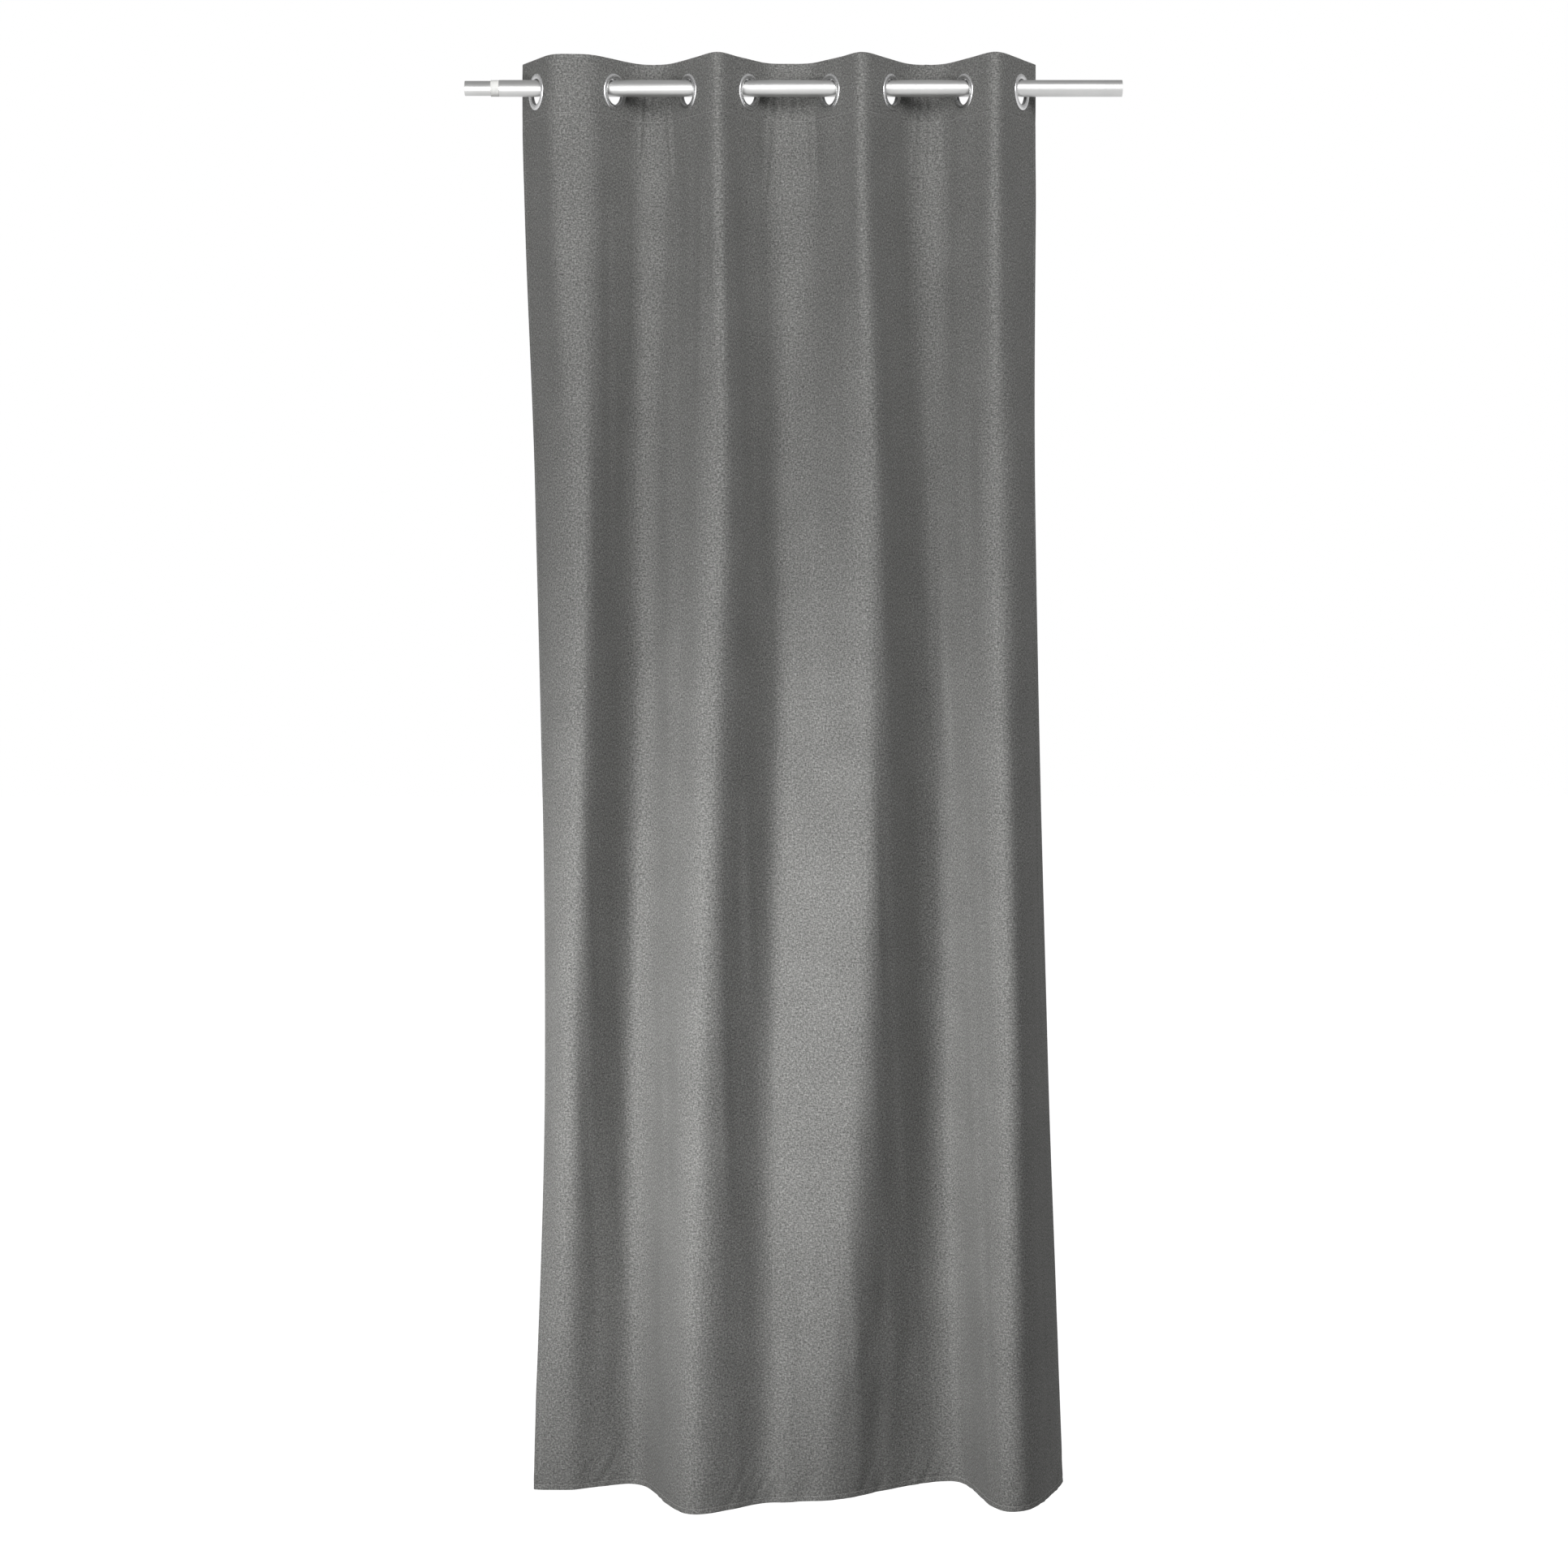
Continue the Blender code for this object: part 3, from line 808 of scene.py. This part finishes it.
class Shader:
    """A Principled material with short ways to add nodes."""

    def __init__(self, name, **sockets):
        self.material = bpy.data.materials.new(name)
        self.material.use_nodes = True
        self.tree = self.material.node_tree
        self.base = self.tree.nodes["Principled BSDF"]
        for socket, value in sockets.items():
            self.base.inputs[socket.replace("_", " ")].default_value = value

    def node(self, kind, inputs=None, **settings):
        made = self.tree.nodes.new(kind)
        for key, value in settings.items():
            setattr(made, key, value)
        for key, value in (inputs or {}).items():
            if isinstance(value, bpy.types.NodeSocket):
                self.tree.links.new(value, made.inputs[key])
            else:
                made.inputs[key].default_value = value
        return made

    def feed(self, socket, output):
        self.tree.links.new(output, self.base.inputs[socket])

    def weave_space(self, scale):
        uv = self.node("ShaderNodeUVMap", uv_map="weave")
        return self.node("ShaderNodeMapping", {"Vector": uv.outputs[0], "Scale": scale}).outputs[0]

    def object_space(self, scale):
        place_node = self.node("ShaderNodeTexCoord")
        link = {"Vector": place_node.outputs["Object"], "Scale": scale}
        return self.node("ShaderNodeMapping", link).outputs[0]

    def noise(self, vector, scale, detail=2.0, roughness=0.5):
        inputs = {"Vector": vector, "Scale": scale, "Detail": detail, "Roughness": roughness}
        return self.node("ShaderNodeTexNoise", inputs).outputs["Fac"]

    def math(self, operation, a, b=0.5):
        return self.node("ShaderNodeMath", {0: a, 1: b}, operation=operation).outputs[0]

    def weighted(self, *parts):
        """The sum of outputs, each times its weight."""
        terms = [self.math("MULTIPLY", output, weight) for output, weight in parts]
        return functools.reduce(lambda total, term: self.math("ADD", total, term), terms)

    def ramp(self, factor, stops):
        ramp = self.node("ShaderNodeValToRGB", {"Fac": factor})
        while len(ramp.color_ramp.elements) < len(stops):
            ramp.color_ramp.elements.new(0.5)
        for element, (position, colour) in zip(ramp.color_ramp.elements, stops):
            element.position = position
            element.color = (*colour, 1.0)
        return ramp.outputs["Color"]

    def scaled(self, factor, low, high):
        inputs = {"Value": factor, "To Min": low, "To Max": high}
        return self.node("ShaderNodeMapRange", inputs).outputs["Result"]

    def bump(self, height, strength, distance):
        inputs = {"Height": height, "Strength": strength, "Distance": distance}
        return self.node("ShaderNodeBump", inputs).outputs["Normal"]


def cloth_material():
    """Plain weave of heathered grey yarns: slubs both ways, speckle and a soft nap."""
    cloth = Shader("heathered_cloth", Roughness=0.92, Sheen_Weight=0.12, Sheen_Roughness=0.45)
    cloth.base.inputs["Sheen Tint"].default_value = (0.80, 0.80, 0.78, 1)
    cloth.base.inputs["Specular IOR Level"].default_value = 0.18
    flat = cloth.weave_space((1, 1, 1))
    weft = cloth.noise(cloth.weave_space((150, 1150, 1)), 1.0, 3.0, 0.6)
    warp = cloth.noise(cloth.weave_space((1150, 110, 1)), 1.0, 3.0, 0.6)
    speckle = cloth.noise(flat, 310, 3.0, 0.75)
    patches = cloth.noise(flat, 9, 3.0, 0.55)
    blend = cloth.weighted((weft, 0.30), (warp, 0.25), (speckle, 0.55), (patches, 0.05))
    colour = cloth.ramp(blend, (
        (0.465, (0.070, 0.070, 0.0675)),
        (0.575, (0.168, 0.168, 0.163)),
        (0.685, (0.330, 0.330, 0.320)),
    ))
    cloth.feed("Base Color", colour)
    ribs = {
        "Vector": flat, "Scale": 200.0, "Distortion": 0.6, "Detail": 1.0, "Detail Scale": 2.0,
    }
    across = cloth.node("ShaderNodeTexWave", ribs, bands_direction="X")
    down = cloth.node("ShaderNodeTexWave", ribs, bands_direction="Y")
    yarns = cloth.math("MAXIMUM", across.outputs["Fac"], down.outputs["Fac"])
    height = cloth.weighted((yarns, 0.5), (blend, 1.2))
    cloth.feed("Normal", cloth.bump(height, 0.55, 0.0004))
    cloth.feed("Roughness", cloth.scaled(speckle, 0.84, 0.98))
    return cloth.material


def thread_material(name, dark, light):
    thread = Shader(name, Roughness=0.7, Sheen_Weight=0.1)
    twist = thread.noise(thread.object_space((1, 1, 1)), 900, 2.0, 0.6)
    thread.feed("Base Color", thread.ramp(twist, ((0.3, dark), (0.7, light))))
    thread.feed("Normal", thread.bump(twist, 0.5, 0.0001))
    return thread.material


def tape_material():
    tape = Shader("stiffener_cloth", Roughness=0.85)
    fibres = tape.noise(tape.object_space((1, 1, 1)), 700, 4.0, 0.7)
    tape.feed("Base Color", tape.ramp(fibres, (
        (0.3, (0.24, 0.24, 0.23)),
        (0.7, (0.36, 0.36, 0.35)),
    )))
    tape.feed("Normal", tape.bump(fibres, 0.4, 0.0003))
    return tape.material


def pole_material():
    """Satin nickel tube: fine lengthwise brushing, slight clouding and a few rub marks."""
    metal = Shader("satin_nickel", Metallic=1.0, Roughness=0.3)
    lines = metal.noise(metal.object_space((5, 1400, 1400)), 1.0, 4.0, 0.65)
    cloud = metal.noise(metal.object_space((1, 1, 1)), 14, 3.0, 0.55)
    rubs = metal.noise(metal.object_space((40, 240, 240)), 1.0, 5.0, 0.7)
    metal.feed("Base Color", metal.ramp(cloud, (
        (0.3, (0.60, 0.60, 0.595)),
        (0.7, (0.67, 0.67, 0.665)),
    )))
    wear = metal.weighted((lines, 0.6), (rubs, 0.4))
    metal.feed("Roughness", metal.scaled(wear, 0.34, 0.50))
    metal.feed("Normal", metal.bump(lines, 0.05, 0.0001))
    return metal.material


def ring_material():
    """Satin plated pressing: soft mottling with finer scratches from sliding."""
    metal = Shader("satin_ring", Metallic=1.0, Roughness=0.28)
    cloud = metal.noise(metal.object_space((1, 1, 1)), 60, 3.0, 0.55)
    scratches = metal.noise(metal.object_space((1, 1, 1)), 700, 4.0, 0.7)
    metal.feed("Base Color", metal.ramp(cloud, (
        (0.3, (0.74, 0.74, 0.745)),
        (0.7, (0.84, 0.84, 0.845)),
    )))
    metal.feed("Roughness", metal.scaled(scratches, 0.20, 0.36))
    metal.feed("Normal", metal.bump(scratches, 0.10, 0.0001))
    return metal.material


def barrel_shade_material():
    """Painted shade: dark grey inside a ring's barrel, standing in for its shade and the grey cloth
    it reflects, streaked along the pole.
    """
    barrel_shade = Shader("painted_barrel_shade", Roughness=0.6)
    streaks = barrel_shade.noise(barrel_shade.object_space((60, 500, 500)), 1.0, 4.0, 0.7)
    # Painted shade and reflection colours, dark to mid grey
    barrel_shade.feed("Base Color", barrel_shade.ramp(streaks, (
        (0.35, (0.13, 0.13, 0.13)),
        (0.7, (0.24, 0.24, 0.24)),
    )))
    barrel_shade.feed("Roughness", barrel_shade.scaled(streaks, 0.5, 0.75))
    barrel_shade.feed("Normal", barrel_shade.bump(streaks, 0.2, 0.0001))
    return barrel_shade.material


def plastic_material():
    plastic = Shader("pale_moulding", Roughness=0.45)
    grain = plastic.noise(plastic.object_space((1, 1, 1)), 900, 2.0, 0.5)
    cloud = plastic.noise(plastic.object_space((1, 1, 1)), 40, 2.0, 0.5)
    plastic.feed("Base Color", plastic.ramp(cloud, (
        (0.3, (0.70, 0.70, 0.68)),
        (0.7, (0.80, 0.80, 0.78)),
    )))
    plastic.feed("Roughness", plastic.scaled(grain, 0.38, 0.52))
    plastic.feed("Normal", plastic.bump(grain, 0.15, 0.0001))
    return plastic.material


# ---- Stage ----------------------------------------------------------------------------


def make_floor():
    """Pale floor that is as white to the camera and in the metal as the backdrop."""
    floor = Shader("pale_floor", Roughness=0.9)
    tint = floor.noise(floor.object_space((1, 1, 1)), 1.3, 2.0, 0.5)
    floor.feed("Base Color", floor.ramp(tint, (
        (0.3, (0.21, 0.21, 0.21)),
        (0.7, (0.23, 0.23, 0.23)),
    )))
    rays = floor.node("ShaderNodeLightPath")
    mirrored = floor.math("MULTIPLY", rays.outputs["Is Glossy Ray"], 0.78)
    seen = floor.math("MAXIMUM", rays.outputs["Is Camera Ray"], mirrored)
    floor.base.inputs["Emission Color"].default_value = (1, 1, 1, 1)
    floor.feed("Emission Strength", seen)
    mesh = bmesh.new()
    bmesh.ops.create_grid(mesh, x_segments=8, y_segments=8, size=30)
    made = add_object("floor", mesh, [floor.material])
    made.location = (0, 0, BOTTOM - FLOOR_CLEARANCE)


def make_world():
    """White behind the curtain; dimmer overhead where it lights or is mirrored."""
    world = bpy.data.worlds.new("studio")
    bpy.context.scene.world = world
    world.use_nodes = True
    tree = world.node_tree

    def node(kind, inputs):
        made = tree.nodes.new(kind)
        for key, value in inputs.items():
            if isinstance(value, bpy.types.NodeSocket):
                tree.links.new(value, made.inputs[key])
            else:
                made.inputs[key].default_value = value
        return made

    direction = node("ShaderNodeTexCoord", {}).outputs["Generated"]
    height = node("ShaderNodeSeparateXYZ", {"Vector": direction}).outputs["Z"]
    mirrored = node("ShaderNodeMapRange", {
        "Value": height, "From Min": -0.25, "From Max": 0.30, "To Min": 0.95, "To Max": 0.42,
    }).outputs["Result"]
    rays = node("ShaderNodeLightPath", {})
    lit = node("ShaderNodeMix", {
        "Factor": rays.outputs["Is Glossy Ray"], "A": FILL, "B": mirrored,
    }).outputs["Result"]
    seen = node("ShaderNodeMix", {"Factor": rays.outputs["Is Camera Ray"], "A": lit, "B": 1.0})
    sky = tree.nodes["Background"]
    sky.inputs["Color"].default_value = (1, 1, 1, 1)
    tree.links.new(seen.outputs["Result"], sky.inputs["Strength"])


def lamp(name, light, place_at, aim):
    made = linked(name, light)
    made.location = place_at
    made.rotation_euler = (Vector(aim) - Vector(place_at)).to_track_quat("-Z", "Y").to_euler()


def make_lights():
    for name, place_at, aim, size, power in AREA_LIGHTS:
        light = bpy.data.lights.new(name, "AREA")
        light.shape = "RECTANGLE"
        light.size, light.size_y = size
        light.energy = power
        lamp(name, light, place_at, aim)
    spot = bpy.data.lights.new("glow", "SPOT")
    spot.energy = GLOW_POWER
    spot.spot_size = GLOW_ANGLE
    spot.spot_blend = 1.0
    spot.shadow_soft_size = GLOW_SIZE
    lamp("glow", spot, GLOW_AT, GLOW_AIM)


def make_camera():
    lens = bpy.data.cameras.new("camera")
    lens.lens = CAMERA_LENS
    lens.sensor_width = 36
    camera = linked("camera", lens)
    camera.location = CAMERA_AT
    camera.rotation_euler = (math.pi / 2 - CAMERA_DIP, 0, 0)
    bpy.context.scene.camera = camera


# ---- Assembly -------------------------------------------------------------------------


def hang(piece):
    """A soft piece rides with the first eyelet, with a mesh of its own."""
    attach(piece, "eyelet_1")
    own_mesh(piece)


def make_cloth():
    cloth = cloth_material()
    panel = make_panel(cloth)
    hang(panel)
    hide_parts("curtain_fabric", "header_facing", "bottom_hem")
    side = steps(HEADER_END - GAP, HEM_TOP + GAP, 0.010)
    trims = []
    for name, way in (("left", -1), ("right", 1)):
        hem = make_edge(f"{name}_side_hem", way, side, HEM_DEPTH, SIDE_HEM, cloth)
        hang(hem)
        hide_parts(f"side_hem_{name}")
        header = steps(HEADER_END, TOP - FACING_DEPTH, 0.006)
        end = make_edge(f"{name}_header_end", way, header, FACING_DEPTH, 0, cloth)
        foot = steps(BOTTOM + 0.0005, HEM_TOP, 0.003)
        corner = make_edge(f"{name}_hem_corner", way, foot, HEM_DEPTH, 0, cloth)
        for piece in (end, corner):
            hang(piece)
        trims += [hem, end, corner]
    tape = make_stiffener(tape_material())
    hang(tape)
    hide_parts("header_stiffener")
    dark = thread_material("grey_thread", (0.27, 0.27, 0.265), (0.42, 0.42, 0.41))
    pale = thread_material("pale_thread", (0.34, 0.34, 0.33), (0.52, 0.52, 0.50))
    threads = make_stitching(dark, pale)
    for thread in threads:
        hang(thread)


def main():
    bpy.context.scene.view_settings.view_transform = "Standard"
    make_camera()
    make_world()
    make_lights()
    make_floor()
    make_pole(pole_material(), plastic_material())
    # The second material paints shade and reflected cloth inside each ring's barrel
    ring, barrel_shade = ring_material(), barrel_shade_material()
    for k in range(COUNT):
        make_eyelet(k, ring, barrel_shade)
    make_cloth()


main()
